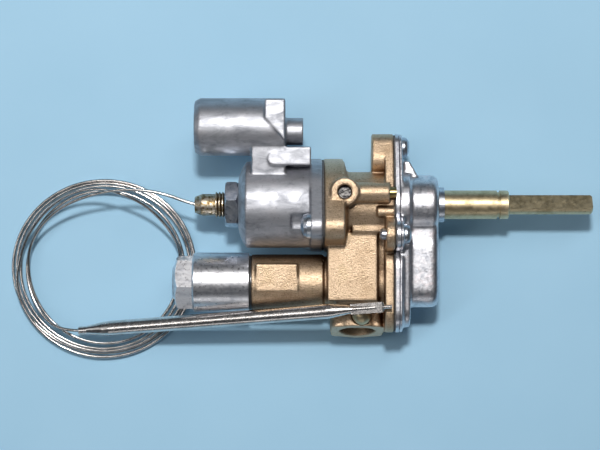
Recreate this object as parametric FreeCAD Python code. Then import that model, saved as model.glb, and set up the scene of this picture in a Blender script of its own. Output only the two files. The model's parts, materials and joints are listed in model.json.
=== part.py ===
"""Gas oven thermostat valve with a flame-failure unit, lying on its side as it is put down.

Millimetres. +X runs from the capillary end to the spindle tip, +Z is up from the surface
it lies on, and +Y points to the gas outlet's side. The origin is at the middle of the
valve's footprint, on that surface.
"""

import FreeCAD, Part
import math
import os

V = FreeCAD.Vector
X_AXIS = V(1, 0, 0)
Z_AXIS = V(0, 0, 1)

# Three parallel axes along X, as (y, z).
MAIN = (4.6, 17.0)  # spindle, tap plug, thermostat capsule and gland
FLAME = (-19.6, 14.5)  # flame-failure valve and its magnet unit
OUTLET = (28.6, 21.0)  # gas outlet

# Clearances
FIT = 0.05  # running fit on a radius
GAP = 0.3  # between pieces that only lie near each other

# Brass body
BODY_REAR = -18.2
FLANGE_REAR_END = -11.9
FLANGE_FACE = 3.4
FRONT_FLANGE_BACK = 0.6
EAR_R = 4.2
EAR_REACH = 16.6  # of the three rear screws from the main axis
REAR_RIM_R = 13.6
FOOT_ANGLE = 180 - math.degrees(math.acos((MAIN[1] - EAR_R) / EAR_REACH))  # two ears stand on the surface
EAR_ANGLES = (-23.5, -FOOT_ANGLE, FOOT_ANGLE)  # degrees from straight up, towards +Y
NECK_R = 10.2
BLOCK_TOP = 24.4
BLOCK_FOOT = 2.5
BLOCK_PLAN = (  # the block's steps, as its x range and y range
    ((-9.5, -1.7), (-25.0, 1.7)),
    ((-17.1, -1.7), (-25.0, -8.4)),
    ((-12.0, -1.7), (-25.0, -3.9)),
)
SILL = ((-14.7, -1.2), (-26.0, -24.0), (7.0, BLOCK_TOP - 1.2))
LEDGE = ((-9.7, 0.8), (-4.0, 3.4), (9.0, BLOCK_TOP + 0.8))
WEB_X = -16.0  # where the web between the two tubes starts
WEB_R = 7.5
TUBE_R = 8.7
TUBE_END = -40.7
TUBE_BORE = 7.2
TUBE_PAD_X = (-39.2, -26.3)
TUBE_PAD_Y = (-22.3, -13.7)
TUBE_PAD_RISE = 0.25  # of the pad's flat above the tube
SEAT_X = -24.0  # flame-failure valve's seat
SEAT_BORE = 4.6
SEAT_END = -7.45
ROD_R = 1.5
ROD_SEAT_END = -4.5
ROD_SEAT_R = 2.95
CROSS_X = -9.0  # of the gas way between the two tubes
CROSS_R = 2.6
CROSS_LENGTH = 18.0
TUBE_GROOVE_X = (-18.4, -17.1)
STEM_R = 2.0
STEM_SEAT = 2.2  # depth of the recess for the stem's seal
STEM_SEAT_R = 3.9
STEM_X = (-27.6, -11.2)
BLADE_END = -7.6  # of the stem's blade, in the plug's slot
BLADE = 1.2
PLUG_SMALL_R = 5.4
PLUG_BIG_R = 6.6
PLUG_BACK = -10.0
PLUG_FRONT = 0.4
PLUG_SLOT_X = (-6.4, 1.0)  # the slot that takes the spindle's tongue
PLUG_SLOT_HALF = 4.0
PLUG_PORT_X = -8.2
PLUG_PORT_R = 1.4
FRONT_ROOM_R = 8.2  # recess for the plug's retainer and the spring
BYPASS = (-12.0, 8.4)  # x, y of the bypass screw, which stands upright
BYPASS_BOSS_R = 4.3
BYPASS_TOP = 32.2
BYPASS_FOOT = 20.4
BYPASS_BORE = 2.0
BYPASS_HEAD = BYPASS_TOP - 2.8  # top of the screw's head, down in its bore
BYPASS_HEAD_HEIGHT = 3.0
BYPASS_SHANK_R = 1.25
BYPASS_TIP = 1.5
SCREW_SLOT = 0.6
GALLERY = (8.2, 28.6)  # y, z of the small gas way beside it
GALLERY_R = 3.1
GALLERY_END = 1.7
GALLERY_BORE = 1.4
NIPPLE = (2.4, 27.0)  # y, z of the small cast nipple on the front flange
NIPPLE_R = 1.7
NIPPLE_X = -2.0
NIPPLE_FOOT = 3.0
GALLERY_FOOT = 5.2
COVER_SCREWS = ((22.4, 17.0), (-4.5, 29.6), (0.5, 4.4))
COVER_SCREW_R = 1.75
COVER_HEAD_R = 3.15
COVER_SCREW = (COVER_HEAD_R, 2.2, COVER_SCREW_R, 7.4)  # head radius and height, shank radius and length
COVER_HEAD_ROOM = 3.6
COVER_TAP_DEPTH = 6.0
COVER_BOSS_R = 4.4
EAR_BACK = -3.4
EAR_ROOT_Y = 19.0
EAR_ROOT_R = 5.4
LOBE_Y = (-35.0, -8.0)
LOBE_Z = (0.0, 26.0)
LOBE_CORNER = 7.0

# Gas inlet, which leans up out of the body's side
INLET = V(-7.7, -35.2, 13.2)  # middle of its face
INLET_TILT = 16.5
INLET_HALF = 8.2
INLET_R = 8.5
INLET_LENGTH = 12.0
INLET_RECESS_R = 5.6
INLET_RECESS = 3.0
INLET_BORE = 4.05
SEAL_WIRE = 0.5  # radius of the inlet seal's section
SEAL_GROOVE_R = 5.2
SEAL_GROOVE = 1.4  # depth of its groove, behind the recess
FILTER_DEPTH = 5.8  # of the filter's back, behind the face
BALL = V(-6.5, -29.6, 20.7)
BALL_R = 3.0

# Aluminium thermostat housing
HOUSING_R = 13.4
HOUSING_END = -44.75
HOUSING_SHOULDER = -42.2
HOUSING_FACE = -18.6
HOUSING_FLANGE = -22.4
HOUSING_BORE = 11.2
HOUSING_FLOOR = -40.6
HOUSING_END_ROWS = ((HOUSING_END, 7.6), (-44.3, 9.4), (-43.4, 11.6))  # the stepped end, as (x, radius)
HOUSING_SCREW_R = 2.0
HOUSING_SCREW = (3.8, 3.0, HOUSING_SCREW_R, 9.0)  # head radius and height, shank radius and length
HEAD_ROOM_R = 4.3
HEAD_ROOM = 6.0
OUTLET_R = 8.9
OUTLET_END = -58.1
OUTLET_BACK = -30.1
OUTLET_BORE = 6.58  # G 1/4 thread, at its major diameter
OUTLET_DEPTH = 14.0
THROAT_END = OUTLET_BACK - 2.5
THROAT_R = 4.6
GASWAY_R = 3.2
GASWAY_X = -36.6
GASWAY_LENGTH = 18.0
OUTLET_PAD = ((-36.3, 36.6), (-30.1, 36.6), (-30.1, 23.8), (-34.6, 29.2), (-36.3, 30.9))  # its flat pad in plan
STUB_END = -24.6
STUB_R = 4.2
STUB_Y = 27.2
SEAM_X = -40.4  # the casting's parting line round the barrel
SEAM = 0.2
HOUSING_WEB_R = 9.0
OUTLET_WEB_R = 7.0
FACET_X = (-40.0, -35.0)
FACET_Y = (18.6, 21.3)
FACET_TOP = 25.6
LUG_X = (-30.0, -22.2)
LUG_Y = (16.6, 22.3)
LUG_Z = (12.0, 27.6)
LUG_END_X = -33.4
LUG_SHELF_Y = 20.7  # the lug's lower part stops short of its face

# Capillary gland and lock nut, M8 x 1
THREAD_R = 3.95
THREAD_PITCH = 1.0
THREAD_DEPTH = 0.6
GLAND_TIP = -58.3
GLAND_NOSE_R = 2.45
GLAND_NECK = (-56.1, -52.0)
GLAND_NECK_R = 3.35
GLAND_TAIL_R = 2.6
GLAND_SOCKET = 6.0  # how far the capillary goes in
NUT_TURN = 80  # degrees from +Y to the nut's first corner
NUT_FLATS = 13.0
NUT_X = (-48.8, -44.8)

# Capsule and thermostat valve; profiles are (x, radius) points about the main axis
CAPSULE_X = (-38.4, -33.4)
CAPSULE_R = 9.6
CAPSULE_HUB_R = 3.0
CAPSULE_FOLDS = 3
CAPSULE_PITCH = 1.5
BUTTON_PROFILE = ((-33.4, 0), (-33.4, 2.4), (-32.4, 2.4), (-31.9, 1.2), (-31.9, 0))
DISC_PROFILE = (
    (-30.2, 0), (-30.2, 6.8), (-28.9, 6.8), (-28.9, 3.6), (-26.4, 3.6), (-26.4, 2.1), (-28.4, 2.1), (-28.4, 0),
)
SEAT_RING_PROFILE = ((-25.2, 7.4), (-25.2, 11.15), (-23.4, 11.15), (-23.4, 5.0), (-24.6, 5.0), (-24.6, 7.4))

# Springs, as ends in x, coil radius, wire diameter and turns
THERMOSTAT_SPRING = (-28.6, -24.9, 6.1, 0.7, 3)
FLAME_SPRING = (-36.4, -26.3, 5.4, 0.7, 5)
RETURN_SPRING = (1.8, 8.8, 5.4, 0.9, 2.5)

# Magnet unit; its profiles are (x, radius) points about the flame axis
SHELL_PROFILE = (
    (-56.0, 0), (-56.0, 6.3), (-36.5, 6.3), (-36.5, 4.2), (-37.3, 4.2), (-37.3, 5.8), (-55.2, 5.8), (-55.2, 0),
)
SHELL_HOLE_R = 1.8
CONTACT_PROFILE = ((-58.4, 0), (-58.4, 2.0), (-57.2, 2.0), (-57.2, 0.8), (-50.2, 0.8), (-50.2, 0))
INSULATOR_PROFILE = ((-57.1, 0.9), (-57.1, 3.4), (-56.1, 3.4), (-56.1, 1.7), (-55.0, 1.7), (-55.0, 0.9))
ARMATURE_X = (-33.6, -32.05)
ARMATURE_R = 3.6
YOKE_X = (-50.0, -47.4, -37.7)  # back, inner face and poles
YOKE_HALF = 4.4
YOKE_LEG = 2.2
YOKE_THICK = 4.0
COIL_X = (-46.8, -40.0)
COIL_Y = (1.5, 5.0)  # from the flame axis
COIL_HALF = 2.6
COIL_WALL = 0.6
SHELL_ROOM_R = 6.35
SPIGOT_END = -38.0
NUT_FLOOR = -57.2  # of the room behind the thermocouple's socket
NUT_THROAT_R = 3.5
SLEEVE_LINE_X = (-50.0, -49.7)
SLEEVE_LINE = 0.12
SLEEVE_R = 9.3
SLEEVE_X = (-59.0, -41.5)
HEX_FLATS = 15.2
HEX_TURN = 38  # degrees from +Y to its first corner
HEX_END = -64.4
MAGNET_END = -65.3
THERMOCOUPLE_R = 4.0  # M8 x 1 socket for the thermocouple's nut
THERMOCOUPLE_DEPTH = 6.0

# Front cover and what it holds
GASKET = 0.5
PLATE = 1.0
SHEET = 1.2
PLATE_X = FLANGE_FACE + GASKET
COVER_X = PLATE_X + PLATE
STEP_X = COVER_X + SHEET
CUP_X = 8.4
COVER_FRONT = 17.3
CUP_WALL = 1.2
CUP_MAIN_R = 9.2
CUP_LOBE_Y = (-27.3, -2.6)
CUP_LOBE_Z = (4.4, 23.6)
CUP_CORNER = 6.0
CUP_RIM = 2.2  # radius of the cup's front edge
COVER_STEP_INSET = 1.5  # of the low step round the cup, inside the flange
COVER_STEP_Y = -3.0
RAMP = ((STEP_X, 10.0), (11.3, 10.0), (11.3, 12.9), (8.3, 18.2), (STEP_X, 18.2))  # in plan
RAMP_HALF = 4.0
BUSH_X = (15.6, 19.1)
BUSH_R = 5.45

# Spindle
PUSH = 4.0  # travel when it is pressed
SPINDLE_R = 4.45
SPINDLE_INNER_R = 3.4
SPINDLE_END = 65.3
FLAT_START = 39.2
SHAFT_R = 3.0
FLAT_OFF = 1.6  # the D flat's distance from the axis
FLAT_LEAN = -33.0  # degrees from straight up, towards +Y when negative about X
TONGUE = 2.4
TONGUE_END = -2.0
COLLAR_R = 6.0
COLLAR = 1.6
CLIP_X = (35.5, 36.5)  # groove for a clip
CLIP_R = 3.9
PUSH_PLATE_X = 8.9
PUSH_PLATE = 1.4
COLLAR_X = PUSH_PLATE_X + PUSH_PLATE + GAP

# Capillary and phial
CORD_D = 1.0
PHIAL_R = 2.3


def rod(x0, x1, r, axis):
    """A cylinder along X about an axis given as (y, z)."""
    return Part.makeCylinder(r, x1 - x0, V(x0, axis[0], axis[1]), X_AXIS)


def ring(x0, x1, outer, inner, axis):
    return rod(x0, x1, outer, axis).cut(rod(x0 - 1, x1 + 1, inner, axis))


def post(z0, z1, r, at):
    """A cylinder along Z at (x, y)."""
    return Part.makeCylinder(r, z1 - z0, V(at[0], at[1], z0), Z_AXIS)


def block(xs, ys, zs):
    low = V(min(xs), min(ys), min(zs))
    return Part.makeBox(abs(xs[1] - xs[0]), abs(ys[1] - ys[0]), abs(zs[1] - zs[0]), low)


def turned(profile, axis):
    """A solid of revolution about an X axis; the profile is (x, radius) points."""
    points = [V(x, axis[0] + r, axis[1]) for x, r in profile]
    face = Part.Face(Part.makePolygon(points + points[:1]))
    return face.revolve(V(0, axis[0], axis[1]), X_AXIS, 360)


def link(x0, x1, a, ra, b, rb):
    """A flat bar between two circles, given as (y, z) centres and radii."""
    gap = math.hypot(b[0] - a[0], b[1] - a[1])
    along = math.atan2(b[1] - a[1], b[0] - a[0])
    open_by = math.acos((ra - rb) / gap)
    corners = []
    for (y, z), r, side in ((a, ra, 1), (b, rb, 1), (b, rb, -1), (a, ra, -1)):
        turn = along + side * open_by
        corners.append(V(x0, y + r * math.cos(turn), z + r * math.sin(turn)))
    web = Part.Face(Part.makePolygon(corners + corners[:1])).extrude(V(x1 - x0, 0, 0))
    return web.fuse([rod(x0, x1, ra, a), rod(x0, x1, rb, b)])


def rounded(xs, ys, zs, corner):
    """A box whose edges along X are rounded."""
    shape = block(xs, ys, zs)
    edges = [e for e in shape.Edges if abs(e.tangentAt(e.FirstParameter).x) > 0.9]
    return shape.makeFillet(corner, edges)


def hexagon(x0, x1, flats, axis, turn):
    """A hexagonal prism along X; turn is its corner's angle in degrees."""
    radius = flats / math.sqrt(3)
    corners = []
    for i in range(6):
        a = math.radians(turn + 60 * i)
        corners.append(V(x0, axis[0] + radius * math.cos(a), axis[1] + radius * math.sin(a)))
    return Part.Face(Part.makePolygon(corners + corners[:1])).extrude(V(x1 - x0, 0, 0))


def fused(shapes):
    return shapes[0].fuse(shapes[1:])


def spring(x0, x1, radius, wire, turns, axis):
    """A round-wire compression spring along X."""
    length = x1 - x0 - wire
    helix = Part.makeLongHelix(length / turns, length, radius)
    start = V(radius, 0, 0)
    profile = Part.Wire(Part.makeCircle(wire / 2, start, V(0, 1, 0)))
    coil = Part.Wire(helix).makePipeShell([profile], True, True)
    coil.rotate(V(0, 0, 0), V(0, 1, 0), 90)
    coil.translate(V(x0 + wire / 2, axis[0], axis[1]))
    return coil


def ear_centres():
    places = []
    for angle in EAR_ANGLES:
        a = math.radians(angle)
        places.append((MAIN[0] + EAR_REACH * math.sin(a), MAIN[1] + EAR_REACH * math.cos(a)))
    return places


def rear_outline(x0, x1, grow=0.0):
    """The round flange with three screw ears that the body and the housing share."""
    return fused([link(x0, x1, MAIN, REAR_RIM_R + grow, p, EAR_R + grow) for p in ear_centres()])


def front_outline(x0, x1, grow=0.0):
    """The long flange with its ear and bosses that the body and the cover share."""
    top = COVER_SCREWS[0]
    lobe = rounded((x0, x1), (LOBE_Y[0] - grow, LOBE_Y[1] + grow), (LOBE_Z[0], LOBE_Z[1]), LOBE_CORNER)
    parts = [lobe, link(x0, x1, MAIN, CUP_MAIN_R + 1.0 + grow, top, EAR_R + grow)]
    for screw in COVER_SCREWS[1:]:
        parts.append(link(x0, x1, (screw[0] + 1.0, MAIN[1]), COVER_BOSS_R + 3.0, screw, COVER_BOSS_R + grow))
    return fused(parts)


def inlet_direction():
    a = math.radians(INLET_TILT)
    return V(0, -math.cos(a), math.sin(a))


def inlet_place(depth):
    """A point on the inlet's axis, that far behind its face."""
    return INLET - inlet_direction() * depth


def inlet_boss():
    out = inlet_direction()
    barrel = Part.makeCylinder(INLET_R, INLET_LENGTH, inlet_place(INLET_LENGTH), out)
    plate = block((-INLET_HALF, INLET_HALF), (-7.0, 7.0), (0, INLET_LENGTH))
    upright = [e for e in plate.Edges if abs(e.tangentAt(e.FirstParameter).z) > 0.9]
    plate = plate.makeFillet(2.4, upright)
    plate.rotate(V(0, 0, 0), X_AXIS, 90 - INLET_TILT)
    plate.translate(inlet_place(INLET_LENGTH))
    return fused([barrel, plate])


def body_blank():
    neck = rod(FLANGE_REAR_END, FRONT_FLANGE_BACK, NECK_R, MAIN)
    tube = rod(TUBE_END, FRONT_FLANGE_BACK, TUBE_R, FLAME)
    pad = block(TUBE_PAD_X, TUBE_PAD_Y, (FLAME[1], FLAME[1] + TUBE_R + TUBE_PAD_RISE))
    steps = [block(xs, ys, (BLOCK_FOOT, BLOCK_TOP)) for xs, ys in BLOCK_PLAN]
    web = link(WEB_X, FRONT_FLANGE_BACK, MAIN, WEB_R, FLAME, WEB_R)
    return [neck, tube, pad, block(*SILL), block(*LEDGE), web] + steps



def body_bosses():
    bypass = post(MAIN[1], BYPASS_TOP, BYPASS_BOSS_R, BYPASS)
    gallery = rod(BYPASS[0], GALLERY_END, GALLERY_R, GALLERY)
    foot_y = (GALLERY[0] - GALLERY_FOOT / 2, GALLERY[0] + GALLERY_FOOT / 2)
    gallery_foot = block((BYPASS[0], GALLERY_END), foot_y, (MAIN[1], GALLERY[1]))
    small = rod(NIPPLE_X, FLANGE_FACE, NIPPLE_R, NIPPLE)
    small_y = (NIPPLE[0] - NIPPLE_FOOT / 2, NIPPLE[0] + NIPPLE_FOOT / 2)
    small_foot = block((NIPPLE_X, FRONT_FLANGE_BACK), small_y, (MAIN[1], NIPPLE[1]))
    ear = link(EAR_BACK, FRONT_FLANGE_BACK, (EAR_ROOT_Y, MAIN[1]), EAR_ROOT_R, COVER_SCREWS[0], EAR_R)
    shoulder = turned(((FLANGE_REAR_END, NECK_R), (FLANGE_REAR_END, REAR_RIM_R), (-11.0, NECK_R)), MAIN)
    return [bypass, gallery, gallery_foot, small, small_foot, ear, shoulder]


def body_hollows():
    """Everything that is bored, drilled or tapped in the body."""
    plug_rows = ((PLUG_BACK - 1, 0), (PLUG_BACK - 1, PLUG_SMALL_R + FIT), (FRONT_FLANGE_BACK, PLUG_BIG_R + FIT),
                 (FRONT_FLANGE_BACK, 0))
    plug = turned(plug_rows, MAIN)
    room = rod(FRONT_FLANGE_BACK, FLANGE_FACE + 1, FRONT_ROOM_R, MAIN)
    stem = rod(BODY_REAR - 1, PLUG_BACK, STEM_R + FIT, MAIN)
    seal_seat = rod(BODY_REAR - 1, BODY_REAR + STEM_SEAT, STEM_SEAT_R, MAIN)
    chamber = rod(TUBE_END - 1, SEAT_X, TUBE_BORE, FLAME)
    seat = rod(SEAT_X - 1, SEAT_END, SEAT_BORE, FLAME)
    ring_seat = rod(SEAT_END - FIT, ROD_SEAT_END, ROD_SEAT_R, FLAME)
    guide = rod(ROD_SEAT_END - FIT, FLANGE_FACE + 1, ROD_R + FIT, FLAME)
    out = inlet_direction()
    recess = Part.makeCylinder(INLET_RECESS_R, INLET_RECESS + 1, inlet_place(INLET_RECESS), out)
    seal_groove = Part.makeCylinder(SEAL_GROOVE_R, SEAL_GROOVE, inlet_place(INLET_RECESS + SEAL_GROOVE), out)
    bore = Part.makeCylinder(INLET_BORE, INLET_LENGTH + 3, inlet_place(INLET_LENGTH + 2), out)
    across = V(0, MAIN[0] - FLAME[0], MAIN[1] - FLAME[1])
    cross = Part.makeCylinder(CROSS_R, CROSS_LENGTH, V(CROSS_X, FLAME[0], FLAME[1]), across)
    ball = Part.makeSphere(BALL_R + FIT, BALL)
    bypass = post(BYPASS_FOOT, BYPASS_TOP + 1, BYPASS_BORE + FIT, BYPASS)
    gallery = rod(BYPASS[0], GALLERY_END + 1, GALLERY_BORE, GALLERY)
    tapped = [rod(BODY_REAR - 1, FLANGE_REAR_END - 1, HOUSING_SCREW_R + FIT, p) for p in ear_centres()]
    tap_end = FLANGE_FACE - COVER_TAP_DEPTH
    tapped += [rod(tap_end, FLANGE_FACE + 1, COVER_SCREW_R + FIT, p) for p in COVER_SCREWS]
    outer_half = block(TUBE_GROOVE_X, (FLAME[0] - NECK_R, FLAME[0] + TUBE_R), (0, 2 * MAIN[1]))
    groove = ring(*TUBE_GROOVE_X, 12.0, TUBE_R - 0.8, FLAME).common(outer_half)
    inlet = [recess, seal_groove, bore]
    ways = [cross, ball, bypass, gallery, groove]
    return [plug, room, stem, seal_seat, chamber, seat, ring_seat, guide] + inlet + ways + tapped


def valve_body():
    flange = rear_outline(BODY_REAR, FLANGE_REAR_END)
    front = front_outline(FRONT_FLANGE_BACK, FLANGE_FACE)
    solid = fused([flange, front, inlet_boss()] + body_blank() + body_bosses())
    return solid.cut(body_hollows())


def gallery_plug():
    return fused([rod(GALLERY_END, FLANGE_FACE + 0.4, 1.7, GALLERY), rod(-3.0, GALLERY_END, 1.35, GALLERY)])


def gasway_ball():
    return Part.makeSphere(BALL_R, BALL)


def bypass_screw():
    under = BYPASS_HEAD - BYPASS_HEAD_HEIGHT
    head = post(under, BYPASS_HEAD, BYPASS_BORE - 2 * FIT, BYPASS)
    shank = post(BYPASS_FOOT + GAP + BYPASS_TIP, under, BYPASS_SHANK_R, BYPASS)
    tip = Part.makeCone(GAP, BYPASS_SHANK_R, BYPASS_TIP, V(BYPASS[0], BYPASS[1], BYPASS_FOOT + GAP))
    slot = block((-BYPASS_BORE, BYPASS_BORE), (-SCREW_SLOT / 2, SCREW_SLOT / 2), (0, 2 * SCREW_SLOT))
    slot.rotate(V(0, 0, 0), Z_AXIS, 27)
    slot.translate(V(BYPASS[0], BYPASS[1], BYPASS_HEAD - 1.5 * SCREW_SLOT))
    return fused([head, shank, tip]).cut(slot)


def bypass_o_ring():
    top = BYPASS_HEAD - BYPASS_HEAD_HEIGHT - 2 * FIT
    return post(top - 1.2, top, BYPASS_BORE - FIT, BYPASS).cut(post(0, top + 1, BYPASS_SHANK_R + FIT, BYPASS))


def outlet_branch():
    """The outlet barrel with its cast pads, stub and web to the housing."""
    barrel = turned(((OUTLET_END, 0), (OUTLET_END, OUTLET_R - 1.0), (OUTLET_END + 1.7, OUTLET_R),
                     (OUTLET_BACK, OUTLET_R), (OUTLET_BACK, 0)), OUTLET)
    barrel = barrel.cut(ring(SEAM_X - SEAM, SEAM_X + SEAM, OUTLET_R + 1, OUTLET_R - SEAM, OUTLET))
    points = [V(x, y, OUTLET[1]) for x, y in OUTLET_PAD]
    pad = Part.Face(Part.makePolygon(points + points[:1])).extrude(V(0, 0, OUTLET_R + GAP))
    stub = rod(OUTLET_BACK, STUB_END, STUB_R, (STUB_Y, OUTLET[1]))
    web = link(SEAM_X, OUTLET_BACK, MAIN, HOUSING_WEB_R, OUTLET, OUTLET_WEB_R)
    facet = block(FACET_X, FACET_Y, (MAIN[1], FACET_TOP))
    lug = block(LUG_X, LUG_Y, LUG_Z)
    shelf = block((LUG_END_X, LUG_X[0] + 1), (LUG_Y[0], LUG_SHELF_Y), LUG_Z)
    half = (LUG_SHELF_Y - LUG_Y[0]) / 2
    lug_end = post(LUG_Z[0], LUG_Z[1], half, (LUG_END_X, LUG_Y[0] + half))
    return [barrel, pad, stub, web, facet, lug, shelf, lug_end]



def thermostat_housing():
    rows = ((HOUSING_END, 0), *HOUSING_END_ROWS, (HOUSING_SHOULDER, HOUSING_R), (HOUSING_FLANGE, HOUSING_R),
            (HOUSING_FLANGE, 0))
    drum = turned(rows, MAIN)
    flange = rear_outline(HOUSING_FLANGE, HOUSING_FACE)
    solid = fused([drum, flange] + outlet_branch())
    solid = solid.cut(rod(HOUSING_FLOOR, HOUSING_FACE + 1, HOUSING_BORE, MAIN))
    cuts = [rod(HOUSING_END - 1, HOUSING_FLOOR + 1, THREAD_R + FIT, MAIN),
            rod(OUTLET_END - 1, OUTLET_END + OUTLET_DEPTH, OUTLET_BORE, OUTLET),
            rod(OUTLET_END, THROAT_END, THROAT_R, OUTLET)]
    across = V(0, MAIN[0] - OUTLET[0], MAIN[1] - OUTLET[1])
    cuts.append(Part.makeCylinder(GASWAY_R, GASWAY_LENGTH, V(GASWAY_X, OUTLET[0], OUTLET[1]), across))
    cuts += [rod(HOUSING_FLANGE - 1, HOUSING_FACE + 1, HOUSING_SCREW_R + FIT, p) for p in ear_centres()]
    cuts += [rod(HOUSING_FLANGE - HEAD_ROOM, HOUSING_FLANGE, HEAD_ROOM_R, p) for p in ear_centres()]
    return solid.cut(cuts)


def housing_gasket():
    sheet = rear_outline(HOUSING_FACE, BODY_REAR, -0.3)
    return sheet.cut([rod(-20, -17, HOUSING_BORE - 1.5, MAIN)] + [rod(-20, -17, 2.3, p) for p in ear_centres()])


def pan_screw(x_under, direction, sizes, axis):
    """A cross-recessed pan-head screw along X; direction +1 puts its tip towards +X."""
    head_r, head, shank_r, shank = sizes
    rows = ((-head, 0), (-head, head_r * 0.55), (-head * 0.72, head_r * 0.9), (-head * 0.35, head_r),
            (0, head_r), (0, shank_r), (shank - 0.6, shank_r), (shank, shank_r - 0.5), (shank, 0))
    shape = turned([(x_under + direction * x, r) for x, r in rows], axis)
    arm, wide = head_r * 0.5, head_r * 0.13
    face = x_under - direction * head
    depth = (face, face + direction * head * 0.45)
    cross = block(depth, (axis[0] - arm, axis[0] + arm), (axis[1] - wide, axis[1] + wide))
    cross = cross.fuse(block(depth, (axis[0] - wide, axis[0] + wide), (axis[1] - arm, axis[1] + arm)))
    return shape.cut(cross)


def housing_screws():
    return Part.makeCompound([pan_screw(HOUSING_FLANGE, 1, HOUSING_SCREW, p) for p in ear_centres()])


def cover_screws():
    return Part.makeCompound([pan_screw(STEP_X, -1, COVER_SCREW, p) for p in COVER_SCREWS])


def capillary_gland():
    profile = [(GLAND_TIP, 0), (GLAND_TIP, GLAND_NOSE_R)] + [(x, GLAND_NECK_R) for x in GLAND_NECK]
    x = GLAND_NECK[1]
    while x < NUT_X[0] - THREAD_PITCH / 2:
        profile += [(x + 0.25 * THREAD_PITCH, THREAD_R), (x + 0.5 * THREAD_PITCH, THREAD_R),
                    (x + THREAD_PITCH, THREAD_R - THREAD_DEPTH)]
        x += THREAD_PITCH
    profile += [(NUT_X[0], THREAD_R), (HOUSING_FLOOR, THREAD_R), (HOUSING_FLOOR, GLAND_TAIL_R),
                (CAPSULE_X[0], GLAND_TAIL_R), (CAPSULE_X[0], 0)]
    return turned(profile, MAIN).cut(rod(GLAND_TIP - 1, GLAND_TIP + GLAND_SOCKET, CORD_D / 2 + FIT, MAIN))


def gland_lock_nut():
    nut = hexagon(NUT_X[0], NUT_X[1], NUT_FLATS, MAIN, NUT_TURN)
    corner = NUT_FLATS / math.sqrt(3)
    trim = turned(((NUT_X[0], 0), (NUT_X[0], corner - 0.9), (NUT_X[0] + 0.7, corner + 0.1),
                   (NUT_X[1] - 0.7, corner + 0.1), (NUT_X[1], corner - 0.9), (NUT_X[1], 0)), MAIN)
    return nut.common(trim).cut(rod(NUT_X[0] - 1, NUT_X[1] + 1, THREAD_R + FIT, MAIN))


def bellows_capsule():
    profile = [(CAPSULE_X[0], 0)]
    for i in range(CAPSULE_FOLDS):
        x = CAPSULE_X[0] + CAPSULE_PITCH * i
        profile += [(x, CAPSULE_HUB_R), (x + 0.5, CAPSULE_R), (x + 0.9, CAPSULE_R), (x + 1.4, CAPSULE_HUB_R)]
    profile += [(CAPSULE_X[1], CAPSULE_HUB_R), (CAPSULE_X[1], 0)]
    return turned(profile, MAIN)


def capsule_thrust_button():
    return turned(BUTTON_PROFILE, MAIN)



def thermostat_valve_disc():
    return turned(DISC_PROFILE, MAIN)


def valve_seat_ring():
    return turned(SEAT_RING_PROFILE, MAIN)


def thermostat_spring():
    return spring(*THERMOSTAT_SPRING, MAIN)


def adjusting_stem():
    stem = rod(STEM_X[0], STEM_X[1], STEM_R, MAIN)
    wide = STEM_R - 2 * FIT
    thick = (MAIN[1] - BLADE / 2, MAIN[1] + BLADE / 2)
    blade = block((STEM_X[1], BLADE_END), (MAIN[0] - wide, MAIN[0] + wide), thick)
    return stem.fuse(blade)


def stem_o_ring():
    return ring(BODY_REAR + 0.6, BODY_REAR + 2.1, 3.85, 2.05, MAIN)


def stem_retainer():
    return ring(BODY_REAR - 1.6, BODY_REAR - 0.1, 5.6, 2.1, MAIN)


def tap_plug():
    plug = turned(((PLUG_BACK, 0), (PLUG_BACK, PLUG_SMALL_R), (PLUG_FRONT, PLUG_BIG_R), (PLUG_FRONT, 0)), MAIN)
    half_slot = TONGUE / 2 + 2 * FIT
    slot = block(PLUG_SLOT_X, (MAIN[0] - PLUG_SLOT_HALF, MAIN[0] + PLUG_SLOT_HALF),
                 (MAIN[1] - half_slot, MAIN[1] + half_slot))
    half_key = BLADE / 2 + 2 * FIT
    key = block((PLUG_BACK - 1, BLADE_END + 0.4), (MAIN[0] - STEM_R, MAIN[0] + STEM_R),
                (MAIN[1] - half_key, MAIN[1] + half_key))
    port = post(MAIN[1] - 2 * PLUG_BIG_R, MAIN[1] + 2 * PLUG_BIG_R, PLUG_PORT_R, (PLUG_PORT_X, MAIN[0]))
    return plug.cut([slot, key, port])


def plug_retainer():
    return ring(0.8, 1.7, FRONT_ROOM_R - 0.1, SPINDLE_INNER_R + 0.5, MAIN)


def return_spring():
    return spring(*RETURN_SPRING, MAIN)


def push_plate():
    bar = link(PUSH_PLATE_X, PUSH_PLATE_X + PUSH_PLATE, MAIN, 6.1, FLAME, 3.9)
    return bar.cut(rod(0, 20, SPINDLE_INNER_R + 0.3, MAIN))


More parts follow.
